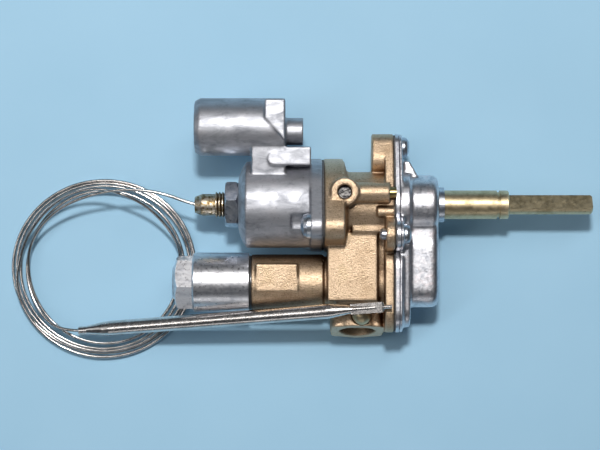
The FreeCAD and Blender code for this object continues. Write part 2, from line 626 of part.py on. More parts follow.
def spindle():
    inner = [(TONGUE_END, 0), (TONGUE_END, SPINDLE_INNER_R), (COLLAR_X, SPINDLE_INNER_R), (COLLAR_X, COLLAR_R),
             (COLLAR_X + COLLAR, COLLAR_R), (COLLAR_X + COLLAR, SPINDLE_R)]
    clip_groove = [(CLIP_X[0], SPINDLE_R), (CLIP_X[0], CLIP_R), (CLIP_X[1], CLIP_R), (CLIP_X[1], SPINDLE_R)]
    shaft = [(FLAT_START - GAP, SPINDLE_R), (FLAT_START, SPINDLE_R - GAP), (FLAT_START, SHAFT_R),
             (SPINDLE_END - 0.5, SHAFT_R), (SPINDLE_END, SHAFT_R - 0.5), (SPINDLE_END, 0)]
    profile = inner + clip_groove + shaft
    shape = turned(profile, MAIN)
    flat = block((FLAT_START, SPINDLE_END + 1), (-5, 5), (FLAT_OFF, 6))
    flat.rotate(V(0, 0, 0), X_AXIS, FLAT_LEAN)
    flat.translate(V(0, MAIN[0], MAIN[1]))
    cheek = block((-3, PUSH + 0.8), (-6, 6), (TONGUE / 2, 6))
    other = block((-3, PUSH + 0.8), (-6, 6), (-6, -TONGUE / 2))
    for piece in (cheek, other):
        piece.translate(V(0, MAIN[0], MAIN[1]))
    return shape.cut([flat, cheek, other])


def spindle_bush():
    return ring(BUSH_X[0], BUSH_X[1], BUSH_R, SPINDLE_R + FIT, MAIN)


def front_rim(shape, radius):
    """Rounds the edges of the front face of one simple solid."""
    last = shape.BoundBox.XMax
    edges = [e for e in shape.Edges if e.BoundBox.XMin > last - 0.01]
    return shape.makeFillet(radius, edges)


def cup_blank(x0, x1, inset, rim):
    """The drawn cup: a round lobe, a long lobe and the waist between them."""
    lobe = rounded((x0, x1), (CUP_LOBE_Y[0] + inset, CUP_LOBE_Y[1] - inset),
                   (CUP_LOBE_Z[0] + inset, CUP_LOBE_Z[1] - inset), CUP_CORNER - inset)
    waist = block((x0, x1), (-8.0, MAIN[0]), (MAIN[1] - 7.8 + inset, MAIN[1] + 6.2 - inset))
    dome = rod(x0, x1, CUP_MAIN_R - inset, MAIN)
    return fused([front_rim(piece, rim) for piece in (dome, lobe, waist)])


def cover_ramp():
    """The drawn ramp from the ear up to the cup."""
    points = [V(x, y, MAIN[1] - RAMP_HALF) for x, y in RAMP]
    return Part.Face(Part.makePolygon(points + points[:1])).extrude(V(0, 0, 2 * RAMP_HALF))


def front_cover():
    flange = front_outline(COVER_X, STEP_X)
    inset = COVER_STEP_INSET
    step_z = (LOBE_Z[0] + inset, LOBE_Z[1] - inset)
    step_y = (LOBE_Y[0] + inset, COVER_STEP_Y)
    lower = rounded((COVER_X, CUP_X), step_y, step_z, LOBE_CORNER - 1)
    upper = rod(COVER_X, CUP_X, CUP_MAIN_R + CUP_WALL, MAIN)
    outer = cup_blank(CUP_X - 1, COVER_FRONT, 0, CUP_RIM)
    inner = cup_blank(COVER_X - 1, COVER_FRONT - CUP_WALL, CUP_WALL, CUP_RIM - 1)
    solid = fused([flange, lower, upper, outer, cover_ramp()])
    solid = solid.cut([inner, rod(CUP_X, COVER_FRONT + 1, BUSH_R + FIT, MAIN)])
    holes = [rod(COVER_X - 1, STEP_X + 1, COVER_SCREW_R + 0.2, p) for p in COVER_SCREWS]
    heads = [rod(STEP_X, CUP_X + 3, COVER_HEAD_ROOM, p) for p in COVER_SCREWS]
    return solid.cut(holes + heads)


def flat_sheet(x0, x1, grow):
    sheet = front_outline(x0, x1, grow)
    holes = [rod(x0 - 1, x1 + 1, 2.0, p) for p in COVER_SCREWS]
    return sheet.cut([rod(x0 - 1, x1 + 1, FRONT_ROOM_R, MAIN), rod(x0 - 1, x1 + 1, 2.4, FLAME)] + holes)


def cover_gasket():
    return flat_sheet(FLANGE_FACE, PLATE_X, -0.4)


def backing_plate():
    return flat_sheet(PLATE_X, COVER_X, 0.0)


def flame_push_rod():
    return rod(SEAT_X + 0.4, PUSH_PLATE_X - GAP, ROD_R, FLAME)


def rod_o_ring():
    return ring(-6.0, -4.6, 2.9, ROD_R + 0.02, FLAME)


def flame_valve_rubber():
    return ring(SEAT_X - 1.3, SEAT_X - 0.1, 6.4, 1.2, FLAME)


def flame_valve_disc():
    return turned(((SEAT_X + 0.35, 0), (SEAT_X + 0.35, 1.15), (SEAT_X - 1.35, 1.15), (SEAT_X - 1.35, 6.6),
                   (SEAT_X - 2.2, 6.6), (SEAT_X - 2.2, 1.3), (-32.0, 1.3), (-32.0, 0)), FLAME)


def magnet_armature():
    return rod(*ARMATURE_X, ARMATURE_R, FLAME)


def flame_spring():
    return spring(*FLAME_SPRING, FLAME)


def magnet_shell():
    """The thin can that carries the magnet and the spring's seat."""
    hole = rod(SHELL_PROFILE[0][0] - 1, SHELL_PROFILE[-1][0] + 1, SHELL_HOLE_R, FLAME)
    return turned(SHELL_PROFILE, FLAME).cut(hole)


def magnet_yoke():
    """A U-shaped iron with two legs towards the armature."""
    back, inner, poles = YOKE_X
    zs = (FLAME[1] - YOKE_THICK / 2, FLAME[1] + YOKE_THICK / 2)
    base = block((back, inner), (FLAME[0] - YOKE_HALF, FLAME[0] + YOKE_HALF), zs)
    starts = (FLAME[0] - YOKE_HALF, FLAME[0] + YOKE_HALF - YOKE_LEG)
    legs = [block((inner, poles), (y, y + YOKE_LEG), zs) for y in starts]
    return fused([base] + legs)


def magnet_coil():
    """The winding round one leg of the yoke."""
    low, high = FLAME[0] + COIL_Y[0], FLAME[0] + COIL_Y[1]
    former = block(COIL_X, (low, high), (FLAME[1] - COIL_HALF, FLAME[1] + COIL_HALF))
    inner = COIL_HALF - 0.5
    zs = (FLAME[1] - inner, FLAME[1] + inner)
    hole = block((COIL_X[0] - 1, COIL_X[1] + 1), (low + COIL_WALL, high - 0.5), zs)
    return former.cut(hole)


def contact_button():
    return turned(CONTACT_PROFILE, FLAME)


def contact_insulator():
    return turned(INSULATOR_PROFILE, FLAME)



def magnet_unit_nut():
    """The hexagon and sleeve that clamp the magnet unit in the body's tube."""
    hexagonal = hexagon(HEX_END, SLEEVE_X[0], HEX_FLATS, FLAME, HEX_TURN)
    corner = HEX_FLATS / math.sqrt(3)
    trim = turned(((HEX_END, 0), (HEX_END, corner - 1.5), (HEX_END + 0.9, corner + 0.1),
                   (SLEEVE_X[0], corner + 0.1), (SLEEVE_X[0], 0)), FLAME)
    tip = turned(((MAGNET_END, 0), (MAGNET_END, 4.9), (HEX_END, 5.9), (HEX_END, 0)), FLAME)
    sleeve = turned(((SLEEVE_X[0], 0), (SLEEVE_X[0], SLEEVE_R - 0.5), (SLEEVE_X[0] + 0.5, SLEEVE_R),
                     (SLEEVE_X[1], SLEEVE_R), (SLEEVE_X[1], 0)), FLAME)
    spigot = rod(SLEEVE_X[1], SPIGOT_END, TUBE_BORE - FIT, FLAME)
    solid = fused([hexagonal.common(trim), tip, sleeve, spigot])
    line = ring(*SLEEVE_LINE_X, SLEEVE_R + 1, SLEEVE_R - SLEEVE_LINE, FLAME)
    hollow = rod(NUT_FLOOR, SPIGOT_END + 1, SHELL_ROOM_R, FLAME)
    socket = rod(MAGNET_END - 1, MAGNET_END + THERMOCOUPLE_DEPTH, THERMOCOUPLE_R, FLAME)
    throat = rod(MAGNET_END, NUT_FLOOR + 1, NUT_THROAT_R, FLAME)
    return solid.cut([hollow, socket, throat, line])


def magnet_seal_washer():
    return ring(TUBE_END - 0.75, TUBE_END - 0.05, TUBE_R - 0.4, TUBE_BORE + 0.1, FLAME)


def inlet_o_ring():
    """The seal in the inlet's recess."""
    centre = inlet_place(INLET_RECESS + SEAL_GROOVE - SEAL_WIRE)
    return Part.makeTorus(INLET_BORE + SEAL_WIRE + FIT, SEAL_WIRE, centre, inlet_direction())


def inlet_filter():
    cup = Part.makeCylinder(INLET_BORE - FIT, 1.0, inlet_place(FILTER_DEPTH), inlet_direction())
    holes = []
    for row in range(-3, 4):
        for column in range(-3, 4):
            if math.hypot(row, column) < 3.2:
                hole = Part.makeCylinder(0.32, 3.0, V(0, 0, -1), Z_AXIS)
                hole.translate(V(row, column, 0))
                hole.rotate(V(0, 0, 0), X_AXIS, 90 - INLET_TILT)
                hole.translate(inlet_place(FILTER_DEPTH))
                holes.append(hole)
    return cup.cut(holes)


# The capillary's route, by hand-chosen points: from the gland over the coil's high side,
# the one turn that rises out of the coil, and the way from the coil to the phial.
LEAD = (
    (-57.6, 4.6, 17.0),
    (-61.4, 5.6, 17.0),
    (-66.6, 7.6, 17.4),
    (-72.9, 9.0, 17.5),
    (-80.0, 9.4, 17.4),
    (-87.6, 8.5, 16.9),
    (-95.0, 6.4, 15.4),
    (-101.7, 3.1, 12.8),
    (-106.9, -1.4, 9.8),
    (-110.4, -6.4, 7.0),
    (-112.2, -11.6, 4.8),
)
CREST = (
    (-63.6, -11.4, 3.8),
    (-64.9, -6.8, 6.0),
    (-67.9, -1.8, 9.0),
    (-72.4, 3.1, 12.2),
    (-77.6, 6.6, 14.6),
    (-83.6, 8.8, 15.4),
    (-89.6, 9.7, 14.8),
    (-95.8, 8.8, 13.2),
    (-101.9, 6.0, 10.8),
    (-107.4, 1.4, 8.0),
    (-111.9, -4.6, 5.8),
    (-114.7, -11.0, 3.8),
)
TAIL = (
    (-111.4, -23.4, 4.2),
    (-108.9, -28.4, 4.9),
    (-105.8, -32.2, 5.8),
    (-102.4, -34.2, 6.8),
    (-98.9, -35.0, 7.6),
    (-95.5, -35.1, 8.2),
)
COIL_MIDDLE = (-88.1, -15.6)
COIL_OUTER = (30.6, 29.5)
COIL_INNER = (23.4, 22.9)
COIL_TOP = 4.4
PHIAL_START = V(-95.6, -35.1, 8.2)
PHIAL_AIM = V(2.4, -26.4, 29.6)
PHIAL_LENGTH = 100.6
PHIAL_CRIMP = (87.6, 98.2)  # the flat part, along the phial
CRIMP_HALF = (1.6, 0.7)
CRIMP_EDGE = 0.6
NIB_R = 0.65
# The phial's outline, as distance along it and radius
PHIAL_NECK = ((0, 0), (0, 1.1), (0.3, 1.27), (2.9, 1.3), (4.6, 1.6), (7.6, 2.05), (10.4, PHIAL_R))
PHIAL_SHOULDER = ((80.5, PHIAL_R), (82.0, 2.15), (88.4, 1.15), (PHIAL_CRIMP[1], 0.6), (PHIAL_CRIMP[1], 0))


def cord_tube(points, name):
    """A round tube along straight runs joined by tangent arcs; it prints the arcs' radii."""
    spots = [V(*p) for p in points]
    edges, radii, start = [], [], spots[0]
    for before, corner, after in zip(spots, spots[1:], spots[2:]):
        back, ahead = (before - corner), (after - corner)
        shorter = min(back.Length, ahead.Length)
        back.normalize()
        ahead.normalize()
        half_turn = (math.pi - back.getAngle(ahead)) / 2
        cut = 0.45 * shorter
        radii.append(cut / math.tan(half_turn))
        first, last = corner + back * cut, corner + ahead * cut
        toward = (back + ahead).normalize()
        reach = radii[-1] / math.cos(half_turn) - radii[-1]
        edges.append(Part.LineSegment(start, first).toShape())
        edges.append(Part.Arc(first, corner + toward * reach, last).toShape())
        start = last
    edges.append(Part.LineSegment(start, spots[-1]).toShape())
    path = Part.Wire(edges)
    section = Part.Wire(Part.makeCircle(CORD_D / 2, spots[0], spots[1] - spots[0]))
    tube = path.makePipeShell([section], True, True)
    expected = math.pi * (CORD_D / 2) ** 2 * path.Length
    print(name, "radii", [round(r, 1) for r in radii], "length", round(path.Length, 1),
          "volume ratio", round(tube.Volume / expected, 3))
    return tube


def capillary_lead():
    return cord_tube(LEAD, "lead")


def capillary_crest():
    return cord_tube(CREST, "crest")


def capillary_tail():
    return cord_tube(TAIL, "tail")


def oval(half, z0, z1):
    """An upright elliptical column about the coil's middle."""
    edge = Part.Ellipse(V(COIL_MIDDLE[0], COIL_MIDDLE[1], z0), max(half), min(half)).toShape()
    return Part.Face(Part.Wire(edge)).extrude(V(0, 0, z1 - z0))


def capillary_coil():
    return oval(COIL_OUTER, 0, COIL_TOP).cut(oval(COIL_INNER, -1, COIL_TOP + 1))


def sensing_phial():
    """A round tube, drawn in at its neck and pressed flat at its far end."""
    tube = turned(PHIAL_NECK + PHIAL_SHOULDER, (0, 0))
    crimp = block(PHIAL_CRIMP, (-CRIMP_HALF[0], CRIMP_HALF[0]), (-CRIMP_HALF[1], CRIMP_HALF[1]))
    across = [e for e in crimp.Edges if abs(e.tangentAt(e.FirstParameter).x) < 0.1]
    crimp = crimp.makeFillet(CRIMP_EDGE, across)
    nib = rod(PHIAL_CRIMP[1] - 0.5, PHIAL_LENGTH, NIB_R, (0, 0))
    shape = fused([tube, crimp, nib])
    aim = PHIAL_AIM - PHIAL_START
    turn = FreeCAD.Rotation(X_AXIS, aim)
    shape.Placement = FreeCAD.Placement(PHIAL_START, turn)
    return shape


PIECES = (
    valve_body, gallery_plug, gasway_ball, inlet_o_ring, inlet_filter, thermostat_housing, housing_gasket,
    housing_screws, capillary_gland, gland_lock_nut, bellows_capsule, capsule_thrust_button,
    thermostat_valve_disc, valve_seat_ring, thermostat_spring, adjusting_stem, stem_o_ring, stem_retainer,
    tap_plug, plug_retainer, return_spring, push_plate, spindle, spindle_bush, front_cover, cover_gasket,
    backing_plate, cover_screws, bypass_screw, bypass_o_ring, flame_push_rod, rod_o_ring, flame_valve_rubber,
    flame_valve_disc, magnet_armature, flame_spring, magnet_shell, magnet_yoke, magnet_coil, contact_button,
    contact_insulator, magnet_unit_nut, magnet_seal_washer, capillary_lead, capillary_crest, capillary_coil,
    capillary_tail, sensing_phial,
)

os.makedirs("parts", exist_ok=True)
for piece in PIECES:
    shape = piece()
    shape.exportStep(os.path.join("parts", piece.__name__ + ".step"))
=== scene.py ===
import json
import math

import bpy
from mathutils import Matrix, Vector


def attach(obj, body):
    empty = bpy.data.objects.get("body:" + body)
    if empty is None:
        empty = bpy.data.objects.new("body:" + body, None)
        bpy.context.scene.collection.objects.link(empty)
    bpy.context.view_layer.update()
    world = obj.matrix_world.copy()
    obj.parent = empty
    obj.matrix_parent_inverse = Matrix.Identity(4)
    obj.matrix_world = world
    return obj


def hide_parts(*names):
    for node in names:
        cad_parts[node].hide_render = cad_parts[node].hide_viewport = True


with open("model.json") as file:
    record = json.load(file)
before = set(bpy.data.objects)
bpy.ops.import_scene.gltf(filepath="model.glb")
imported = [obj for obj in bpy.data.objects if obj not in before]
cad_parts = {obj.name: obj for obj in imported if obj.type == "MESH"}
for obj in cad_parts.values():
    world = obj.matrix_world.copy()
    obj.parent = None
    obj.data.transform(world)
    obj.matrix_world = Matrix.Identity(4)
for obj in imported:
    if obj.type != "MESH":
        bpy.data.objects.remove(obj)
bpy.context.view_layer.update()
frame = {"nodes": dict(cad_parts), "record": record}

MM = 0.001

# ---------------------------------------------------------------- camera

EYE_HEIGHT = 0.565  # above the surface
VIEW_MIDDLE = (-25.6 * MM, -1.7 * MM)
VIEW_WIDTH = 0.1875  # seen at MIDDLE_HEIGHT
MIDDLE_HEIGHT = 0.015


def make_camera():
    data = bpy.data.cameras.new("camera")
    data.lens = data.sensor_width * (EYE_HEIGHT - MIDDLE_HEIGHT) / VIEW_WIDTH
    camera = bpy.data.objects.new("camera", data)
    camera.location = (*VIEW_MIDDLE, EYE_HEIGHT)
    bpy.context.collection.objects.link(camera)
    bpy.context.scene.camera = camera


make_camera()

# ---------------------------------------------------------------- node helpers

NOISE_SPAN = (0.3, 0.7)
AO_SAMPLES = 8


class Shader:
    """A material's node tree with short calls for the few nodes used here."""

    def __init__(self, name):
        self.material = bpy.data.materials.new(name)
        self.material.use_nodes = True
        self.nodes = self.material.node_tree.nodes
        self.links = self.material.node_tree.links
        self.bsdf = self.nodes["Principled BSDF"]
        self.place = self.nodes.new("ShaderNodeTexCoord").outputs["Object"]

    def wire(self, value, socket):
        if isinstance(value, bpy.types.NodeSocket):
            self.links.new(value, socket)
        else:
            socket.default_value = value

    def stretched(self, scale):
        node = self.nodes.new("ShaderNodeMapping")
        self.links.new(self.place, node.inputs["Vector"])
        node.inputs["Scale"].default_value = scale
        return node.outputs["Vector"]

    def noise(self, size, detail=4.0, rough=0.55, stretch=None, warp=0.0):
        """Noise whose features are about size metres across."""
        node = self.nodes.new("ShaderNodeTexNoise")
        self.links.new(self.stretched(stretch) if stretch else self.place, node.inputs["Vector"])
        node.inputs["Scale"].default_value = 1.0 / size
        node.inputs["Detail"].default_value = detail
        node.inputs["Roughness"].default_value = rough
        node.inputs["Distortion"].default_value = warp
        return node.outputs["Fac"]

    def ramp(self, value, stops):
        """Colours or greys at places along 0 to 1."""
        node = self.nodes.new("ShaderNodeValToRGB")
        self.wire(value, node.inputs["Fac"])
        ramp = node.color_ramp
        while len(ramp.elements) < len(stops):
            ramp.elements.new(0.5)
        for element, (at, colour) in zip(ramp.elements, stops):
            element.position = at
            element.color = (*colour, 1) if isinstance(colour, tuple) else (colour, colour, colour, 1)
        return node.outputs["Color"]

    def mix(self, factor, a, b, how="MIX"):
        node = self.nodes.new("ShaderNodeMix")
        node.data_type = "RGBA"
        node.blend_type = how
        self.wire(factor, node.inputs[0])
        for value, socket in ((a, node.inputs[6]), (b, node.inputs[7])):
            self.wire((*value, 1) if isinstance(value, tuple) else value, socket)
        return node.outputs[2]

    def spread(self, value, low, high):
        """A noise value, which mostly lies in NOISE_SPAN, as a range of numbers."""
        node = self.nodes.new("ShaderNodeMapRange")
        self.wire(value, node.inputs["Value"])
        node.inputs["From Min"].default_value = NOISE_SPAN[0]
        node.inputs["From Max"].default_value = NOISE_SPAN[1]
        node.inputs["To Min"].default_value = low
        node.inputs["To Max"].default_value = high
        return node.outputs["Result"]

    def painted_recess_shade(self, reach):
        """Mask for painted shade: 1 in the open and 0 deep in a recess, where the colour is darkened."""
        node = self.nodes.new("ShaderNodeAmbientOcclusion")
        node.samples = AO_SAMPLES
        node.inputs["Distance"].default_value = reach
        return node.outputs["AO"]

    def edges(self):
        """Bright on convex edges."""
        return self.nodes.new("ShaderNodeNewGeometry").outputs["Pointiness"]

    def bump(self, height, depth, strength=1.0):
        node = self.nodes.new("ShaderNodeBump")
        node.inputs["Strength"].default_value = strength
        node.inputs["Distance"].default_value = depth
        self.wire(height, node.inputs["Height"])
        old = self.bsdf.inputs["Normal"]
        if old.is_linked:
            self.links.new(old.links[0].from_socket, node.inputs["Normal"])
        self.links.new(node.outputs["Normal"], old)

    def finish(self, colour, rough, metal=1.0):
        self.wire((*colour, 1) if isinstance(colour, tuple) else colour, self.bsdf.inputs["Base Color"])
        self.wire(rough, self.bsdf.inputs["Roughness"])
        self.bsdf.inputs["Metallic"].default_value = metal
        return self.material


# ---------------------------------------------------------------- colours, linear

WHITE = (1.0, 1.0, 1.0)

BRASS_DULL = (0.52, 0.38, 0.25)
BRASS_CAST = (0.66, 0.50, 0.35)
BRASS_WARM = (0.58, 0.44, 0.28)
BRASS_PIT = (0.22, 0.13, 0.07)
BRASS_STAIN = (0.30, 0.19, 0.11)
# painted shade colour, multiplied into cast brass recesses
BRASS_PAINTED_SHADE = (0.16, 0.09, 0.045)
BRASS_WORN = (0.90, 0.76, 0.56)
TURNED_DULL = (0.46, 0.37, 0.22)
TURNED_BRIGHT = (0.68, 0.56, 0.36)
TURNED_DEEP = (0.52, 0.42, 0.26)
TURNED_SPOT = (0.24, 0.17, 0.10)
TURNED_WORN = (0.92, 0.78, 0.52)
FLUX_BLACK = (0.10, 0.06, 0.03)
FLUX_BROWN = (0.36, 0.27, 0.14)
FLUX_WHITE = (0.70, 0.66, 0.58)
FLUX_RUST = (0.24, 0.14, 0.06)
# painted shade colour, multiplied into the stained brass recesses
STAINED_PAINTED_SHADE = (0.25, 0.15, 0.08)
OLIVE_DARK = (0.20, 0.16, 0.07)
OLIVE_LIGHT = (0.40, 0.33, 0.16)

ALUMINIUM_DARK = (0.27, 0.28, 0.31)
ALUMINIUM_MID = (0.47, 0.48, 0.52)
ALUMINIUM_LIGHT = (0.58, 0.58, 0.62)
ALUMINIUM_SPOT = (0.25, 0.25, 0.28)
# painted shade colour, multiplied into aluminium recesses
ALUMINIUM_PAINTED_SHADE = (0.30, 0.31, 0.35)

ZINC_DARK = (0.52, 0.54, 0.60)
ZINC_MID = (0.76, 0.76, 0.80)
ZINC_PINK = (0.84, 0.77, 0.80)
ZINC_MOTTLE = (0.28, 0.30, 0.35)
FASTENER_DARK = (0.42, 0.47, 0.55)
FASTENER_LIGHT = (0.70, 0.73, 0.78)
PLATE_DARK = (0.56, 0.57, 0.62)
PLATE_BRIGHT = (0.84, 0.84, 0.87)
PLATE_WARM = (0.74, 0.73, 0.77)
STEEL_DARK = (0.56, 0.53, 0.51)
STEEL_LIGHT = (0.74, 0.71, 0.69)
STEEL_SPOT = (0.33, 0.29, 0.28)
CAPILLARY_DARK = (0.40, 0.38, 0.37)
CAPILLARY_LIGHT = (0.66, 0.63, 0.61)

IRON = ((0.10, 0.10, 0.10), (0.22, 0.21, 0.20))
COPPER = ((0.42, 0.17, 0.08), (0.62, 0.29, 0.15))
RUBBER = ((0.012, 0.012, 0.013), (0.03, 0.03, 0.03))
FIBRE = ((0.05, 0.05, 0.055), (0.14, 0.14, 0.14))
OILED_STEEL = ((0.03, 0.03, 0.035), (0.30, 0.29, 0.28))
FLOOR_BLUE = ((0.40, 0.68, 0.90), (0.42, 0.70, 0.92))

# ---------------------------------------------------------------- materials


def cast_brass():
    """Sand-cast brass: grainy, with painted shade darkening its recesses brown, and bright on its edges.
    """
    s = Shader("cast_brass")
    grain = s.noise(0.42 * MM, detail=3.0, rough=0.6)
    tint = s.ramp(s.noise(8 * MM, detail=5.0), ((0.3, BRASS_DULL), (0.52, BRASS_CAST), (0.75, BRASS_WARM)))
    pits = s.ramp(s.noise(0.5 * MM, detail=4.0, rough=0.7), ((0.54, 0.0), (0.66, 0.75)))
    tint = s.mix(pits, tint, BRASS_PIT)
    stain = s.ramp(s.noise(3.0 * MM, detail=6.0, rough=0.7), ((0.56, 0.0), (0.72, 0.55)))
    tint = s.mix(stain, tint, BRASS_STAIN)
    # Painted shade: ambient occlusion darkens the recesses towards brown
    brass_painted_shade = s.ramp(s.painted_recess_shade(5.0 * MM), ((0.33, BRASS_PAINTED_SHADE), (0.80, WHITE)))
    tint = s.mix(1.0, tint, brass_painted_shade, "MULTIPLY")
    worn = s.ramp(s.edges(), ((0.53, 0.0), (0.61, 0.5)))
    tint = s.mix(worn, tint, BRASS_WORN)
    s.bump(s.noise(2.5 * MM, detail=3.0), depth=0.14 * MM, strength=0.6)
    s.bump(grain, depth=0.16 * MM, strength=0.9)
    return s.finish(tint, s.spread(grain, low=0.36, high=0.55))


def machined_brass():
    """Turned brass with fine rings about the X axis."""
    s = Shader("machined_brass")
    rings = s.noise(0.22 * MM, detail=2.0, rough=0.5, stretch=(6.0, 0.15, 0.15))
    patches = s.noise(5 * MM, detail=5.0, rough=0.6)
    tint = s.ramp(patches, ((0.35, TURNED_DULL), (0.55, TURNED_BRIGHT), (0.75, TURNED_DEEP)))
    spots = s.ramp(s.noise(1.0 * MM, detail=4.0), ((0.56, 0.0), (0.72, 0.45)))
    tint = s.mix(spots, tint, TURNED_SPOT)
    worn = s.ramp(s.edges(), ((0.53, 0.0), (0.60, 0.5)))
    tint = s.mix(worn, tint, TURNED_WORN)
    s.bump(rings, depth=0.02 * MM, strength=0.5)
    s.bump(s.noise(0.3 * MM, detail=3.0), depth=0.02 * MM, strength=0.6)
    return s.finish(tint, s.spread(s.noise(1.5 * MM, detail=4.0), low=0.34, high=0.5))


def stained_brass():
    """Brass mottled brown and white by soldering, with painted shade darkening its small recesses."""
    s = Shader("stained_brass")
    mottle = s.noise(1.3 * MM, detail=6.0, rough=0.75)
    base = s.ramp(mottle, ((0.36, FLUX_BLACK), (0.46, FLUX_BROWN), (0.54, FLUX_WHITE), (0.64, FLUX_RUST)))
    # Painted shade: ambient occlusion darkens the small recesses
    dark = s.ramp(s.painted_recess_shade(0.9 * MM), ((0.35, STAINED_PAINTED_SHADE), (0.7, WHITE)))
    s.bump(s.noise(0.6 * MM, detail=3.0), depth=0.06 * MM, strength=0.7)
    return s.finish(s.mix(1.0, base, dark, "MULTIPLY"), s.spread(s.noise(0.9 * MM), low=0.3, high=0.55))


def olive_brass():
    s = Shader("olive_brass")
    tint = s.ramp(s.noise(1.4 * MM, detail=4.0), ((0.35, OLIVE_DARK), (0.65, OLIVE_LIGHT)))
    s.bump(s.noise(0.4 * MM, detail=3.0), depth=0.02 * MM, strength=0.5)
    return s.finish(tint, 0.34)


def cast_aluminium():
    """Die-cast aluminium with flow marks along X and painted shade in its recesses."""
    s = Shader("cast_aluminium")
    smear = s.noise(3.5 * MM, detail=5.0, rough=0.65, stretch=(0.45, 1.0, 1.0), warp=0.6)
    tint = s.ramp(smear, ((0.30, ALUMINIUM_DARK), (0.5, ALUMINIUM_MID), (0.68, ALUMINIUM_LIGHT)))
    spots = s.ramp(s.noise(1.1 * MM, detail=6.0, rough=0.7), ((0.58, 0.0), (0.72, 0.65)))
    tint = s.mix(spots, tint, ALUMINIUM_SPOT)
    # Painted shade: ambient occlusion darkens the recesses
    shade = s.ramp(s.painted_recess_shade(2.2 * MM), ((0.25, ALUMINIUM_PAINTED_SHADE), (0.6, WHITE)))
    tint = s.mix(1.0, tint, shade, "MULTIPLY")
    s.bump(s.noise(1.6 * MM, detail=4.0), depth=0.06 * MM, strength=0.6)
    s.bump(s.noise(0.3 * MM, detail=2.0), depth=0.03 * MM, strength=0.6)
    return s.finish(tint, s.spread(smear, low=0.60, high=0.44))


def zinc_steel():
    """Zinc-plated sheet with a faint pink and blue passivation."""
    s = Shader("zinc_steel")
    cloud = s.noise(3.0 * MM, detail=5.0, rough=0.6, warp=0.8)
    tint = s.ramp(cloud, ((0.32, ZINC_DARK), (0.52, ZINC_MID), (0.7, ZINC_PINK)))
    mottle = s.ramp(s.noise(0.8 * MM, detail=5.0, rough=0.7), ((0.54, 0.0), (0.70, 0.6)))
    tint = s.mix(mottle, tint, ZINC_MOTTLE)
    s.bump(s.noise(2.2 * MM, detail=3.0), depth=0.10 * MM, strength=0.5)
    s.bump(s.noise(0.4 * MM, detail=3.0), depth=0.025 * MM, strength=0.7)
    return s.finish(tint, s.spread(s.noise(0.7 * MM, detail=5.0, rough=0.7), low=0.26, high=0.46))


def zinc_fastener():
    s = Shader("zinc_fastener")
    tint = s.ramp(s.noise(1.5 * MM, detail=4.0), ((0.35, FASTENER_DARK), (0.65, FASTENER_LIGHT)))
    s.bump(s.noise(0.4 * MM, detail=3.0), depth=0.02 * MM, strength=0.6)
    return s.finish(tint, s.spread(s.noise(0.7 * MM), low=0.26, high=0.42))


def bright_plate():
    """Plated steel with fine turning marks about the X axis."""
    s = Shader("bright_plate")
    brushed = s.noise(0.14 * MM, detail=2.0, rough=0.5, stretch=(3.0, 0.10, 0.10))
    patches = s.noise(2.2 * MM, detail=5.0, rough=0.6, stretch=(0.5, 1, 1))
    tint = s.ramp(patches, ((0.3, PLATE_DARK), (0.55, PLATE_BRIGHT), (0.7, PLATE_WARM)))
    s.bump(brushed, depth=0.012 * MM, strength=0.6)
    s.bump(s.noise(3.0 * MM, detail=2.0), depth=0.03 * MM, strength=0.4)
    return s.finish(tint, s.spread(s.noise(0.9 * MM, detail=5.0, rough=0.7), low=0.24, high=0.40))


def stainless():
    s = Shader("stainless")
    tint = s.ramp(s.noise(6.0 * MM, detail=3.0, rough=0.5), ((0.33, STEEL_DARK), (0.6, STEEL_LIGHT)))
    spots = s.ramp(s.noise(0.8 * MM, detail=5.0, rough=0.7), ((0.64, 0.0), (0.78, 0.35)))
    tint = s.mix(spots, tint, STEEL_SPOT)
    s.bump(s.noise(0.5 * MM, detail=2.0), depth=0.01 * MM, strength=0.4)
    return s.finish(tint, s.spread(s.noise(1.4 * MM, detail=3.0), low=0.20, high=0.30))


def capillary_steel():
    s = Shader("capillary_steel")
    tint = s.ramp(s.noise(5.0 * MM, detail=3.0), ((0.35, CAPILLARY_DARK), (0.65, CAPILLARY_LIGHT)))
    s.bump(s.noise(0.3 * MM, detail=2.0), depth=0.01 * MM, strength=0.5)
    return s.finish(tint, s.spread(s.noise(2.0 * MM), low=0.16, high=0.26))


def simple(name, colours, rough, metal, grain):
    """Two shades of one material in fine grain."""
    s = Shader(name)
    dark, light = colours
    fine = s.noise(grain, detail=4.0, rough=0.6)
    s.bump(fine, depth=0.03 * MM, strength=0.6)
    tint = s.ramp(fine, ((0.35, dark), (0.65, light)))
    return s.finish(tint, s.spread(fine, low=rough, high=rough + 0.12), metal)


MATERIALS = {
    "cast_brass": cast_brass(),
    "machined_brass": machined_brass(),
    "cast_aluminium": cast_aluminium(),
    "zinc_steel": zinc_steel(),
    "bright_plate": bright_plate(),
    "stainless": stainless(),
    "magnet_iron": simple("magnet_iron", IRON, rough=0.4, metal=1.0, grain=0.8 * MM),
    "copper_winding": simple("copper_winding", COPPER, rough=0.3, metal=1.0, grain=0.3 * MM),
    "rubber": simple("rubber", RUBBER, rough=0.5, metal=0.0, grain=0.4 * MM),
    "gasket_fibre": simple("gasket_fibre", FIBRE, rough=0.7, metal=0.0, grain=0.5 * MM),
}
FASTENER = zinc_fastener()
STAINED = stained_brass()
OLIVE = olive_brass()
OILED = simple("oiled_screw", OILED_STEEL, rough=0.25, metal=1.0, grain=0.9 * MM)
CAPILLARY = capillary_steel()
OWN_MATERIAL = {
    "capillary_gland": STAINED,
    "gallery_plug": OLIVE,
    "gland_lock_nut": FASTENER,
    "housing_screws": FASTENER,
    "cover_screws": FASTENER,
    "bypass_screw": OILED,
    "spindle_bush": FASTENER,
}


